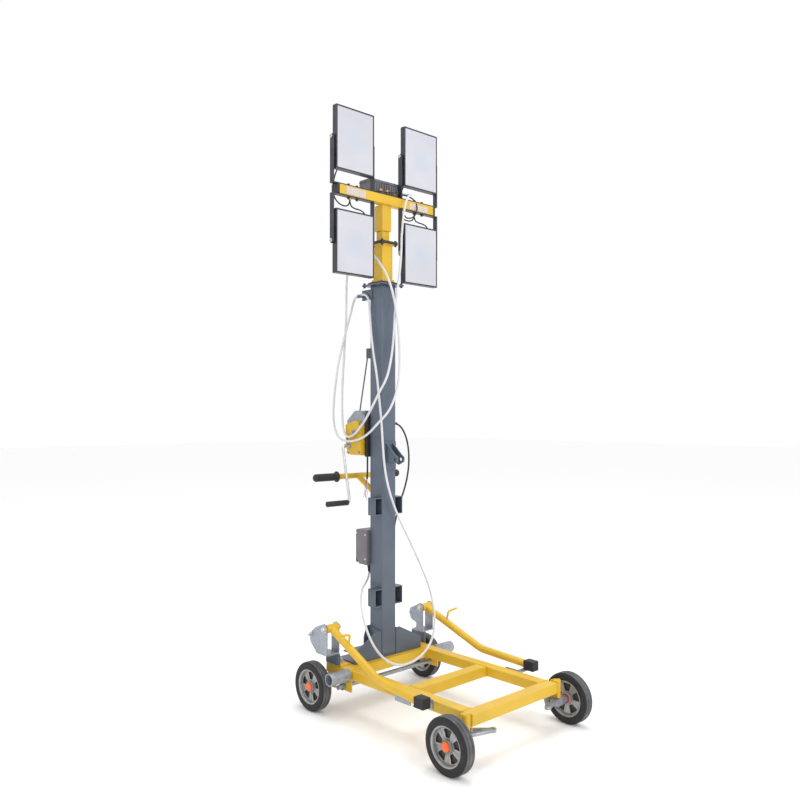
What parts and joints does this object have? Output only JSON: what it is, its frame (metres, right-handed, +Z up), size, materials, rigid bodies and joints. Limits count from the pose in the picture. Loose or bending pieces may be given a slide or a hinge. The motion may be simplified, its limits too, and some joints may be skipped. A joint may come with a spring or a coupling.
{
  "type": "hand-pushed lifting work light",
  "caption": "Push cart with steered front wheels, telescopic winch mast, push handle, fold-over stabiliser arms and tilting floodlights on a cross bar.",
  "frame": {"origin": "on the floor under the middle of the whole machine", "axes": "+Z up, -Y the front (open end of the cart), +X the right side"},
  "size_m": [0.736, 1.0707, 2.518],
  "materials": {
    "yellow_paint": "satin",
    "grey_paint": "satin",
    "zinc": "satin",
    "black_paint": "satin",
    "black_plastic": "matte",
    "rubber": "matte",
    "tyre": "matte",
    "aluminium": "satin",
    "diffuser": "frosted",
    "white_cable": "satin",
    "black_cable": "satin",
    "box_paint": "satin",
    "rope": "satin"
  },
  "bodies": {
    "cart": {"side_rails": "yellow_paint", "cross_rails": "yellow_paint", "frame_brackets": "yellow_paint", "rear_axle": "zinc", "mast_base": "grey_paint", "mast_outer": "grey_paint", "mast_flange": "grey_paint", "mast_brackets": "grey_paint", "push_handle": "yellow_paint", "handle_grips": "black_plastic", "winch_pad": "rubber", "winch_frame": "zinc", "winch_cover": "yellow_paint", "lift_rope": "rope", "control_box": "box_paint", "cable_glands": "black_plastic", "socket_tubes": "zinc", "cross_rod": "zinc", "bracket_blocks": "black_plastic", "arm_brackets": "zinc", "arm_cradles": "zinc", "cable_lower": "white_cable", "cable_black": "black_cable", "cable_switch": "black_cable"},
    "middle_section": {"mast_middle": "yellow_paint"},
    "head": {"mast_inner": "yellow_paint", "lamp_bar": "yellow_paint", "bar_caps": "black_plastic", "junction_box": "black_paint", "lamp_yokes": "black_paint", "cable_upper": "white_cable"},
    "drum": {"winch_drum": "zinc"},
    "crank": {"winch_crank": "zinc", "crank_grip": "black_plastic"},
    "lamp_upper_left": {"lamp_upper_left": "black_paint", "lens_upper_left": "diffuser"},
    "lamp_upper_right": {"lamp_upper_right": "black_paint", "lens_upper_right": "diffuser"},
    "lamp_lower_left": {"lamp_lower_left": "black_paint", "lens_lower_left": "diffuser"},
    "lamp_lower_right": {"lamp_lower_right": "black_paint", "lens_lower_right": "diffuser"},
    "wheel_rear_left": {"tyre_rear_left": "tyre", "rim_rear_left": "aluminium"},
    "wheel_rear_right": {"tyre_rear_right": "tyre", "rim_rear_right": "aluminium"},
    "steering_left": {"knuckle_left": "zinc"},
    "wheel_front_left": {"tyre_front_left": "tyre", "rim_front_left": "aluminium"},
    "steering_right": {"knuckle_right": "zinc"},
    "wheel_front_right": {"tyre_front_right": "tyre", "rim_front_right": "aluminium"},
    "arm_left": {"arm_left": "yellow_paint", "arm_foot_left": "rubber"},
    "arm_right": {"arm_right": "yellow_paint", "arm_foot_right": "rubber"}
  },
  "joints": [
    {"name": "head_lift", "type": "slide", "parent": "cart", "child": "head", "axis": [0, 0, 1], "range_m": [0, 2]},
    {"name": "middle_lift", "type": "slide", "parent": "cart", "child": "middle_section", "axis": [0, 0, 1], "range_m": [0, 1]},
    {"name": "drum_turn", "type": "hinge", "parent": "cart", "child": "drum", "pos_m": [0, 0.429, 1.15], "axis": [1, 0, 0], "continuous": true},
    {"name": "crank_turn", "type": "hinge", "parent": "cart", "child": "crank", "pos_m": [0, 0.46, 1.09], "axis": [1, 0, 0], "continuous": true},
    {"name": "tilt_upper_left", "type": "hinge", "parent": "head", "child": "lamp_upper_left", "pos_m": [-0.193, 0.294, 2.384], "axis": [1, 0, 0], "range_deg": [-30, 80]},
    {"name": "tilt_upper_right", "type": "hinge", "parent": "head", "child": "lamp_upper_right", "pos_m": [0.193, 0.294, 2.384], "axis": [1, 0, 0], "range_deg": [-30, 80]},
    {"name": "tilt_lower_left", "type": "hinge", "parent": "head", "child": "lamp_lower_left", "pos_m": [-0.193, 0.294, 1.95], "axis": [1, 0, 0], "range_deg": [-30, 80]},
    {"name": "tilt_lower_right", "type": "hinge", "parent": "head", "child": "lamp_lower_right", "pos_m": [0.193, 0.294, 1.95], "axis": [1, 0, 0], "range_deg": [-30, 80]},
    {"name": "wheel_rear_left_turn", "type": "hinge", "parent": "cart", "child": "wheel_rear_left", "pos_m": [-0.322, 0.392, 0.1], "axis": [1, 0, 0], "continuous": true},
    {"name": "wheel_rear_right_turn", "type": "hinge", "parent": "cart", "child": "wheel_rear_right", "pos_m": [0.322, 0.392, 0.1], "axis": [1, 0, 0], "continuous": true},
    {"name": "steer_left", "type": "hinge", "parent": "cart", "child": "steering_left", "pos_m": [-0.264, -0.413, 0.1], "axis": [0, 0, 1], "range_deg": [-20, 20]},
    {"name": "wheel_front_left_turn", "type": "hinge", "parent": "steering_left", "child": "wheel_front_left", "pos_m": [-0.343, -0.413, 0.1], "axis": [1, 0, 0], "continuous": true},
    {"name": "steer_right", "type": "hinge", "parent": "cart", "child": "steering_right", "pos_m": [0.264, -0.413, 0.1], "axis": [0, 0, 1], "range_deg": [-20, 20]},
    {"name": "wheel_front_right_turn", "type": "hinge", "parent": "steering_right", "child": "wheel_front_right", "pos_m": [0.343, -0.413, 0.1], "axis": [1, 0, 0], "continuous": true},
    {"name": "arm_left_swing", "type": "hinge", "parent": "cart", "child": "arm_left", "pos_m": [-0.276, 0.328, 0.343], "axis": [-1, 0, 0], "range_deg": [0, 228]},
    {"name": "arm_right_swing", "type": "hinge", "parent": "cart", "child": "arm_right", "pos_m": [0.276, 0.328, 0.343], "axis": [-1, 0, 0], "range_deg": [0, 228]}
  ],
  "couplings": [
    {"joint": "middle_lift", "follows": "head_lift", "ratio": 0.5},
    {"joint": "crank_turn", "follows": "drum_turn", "ratio": -4}
  ]
}
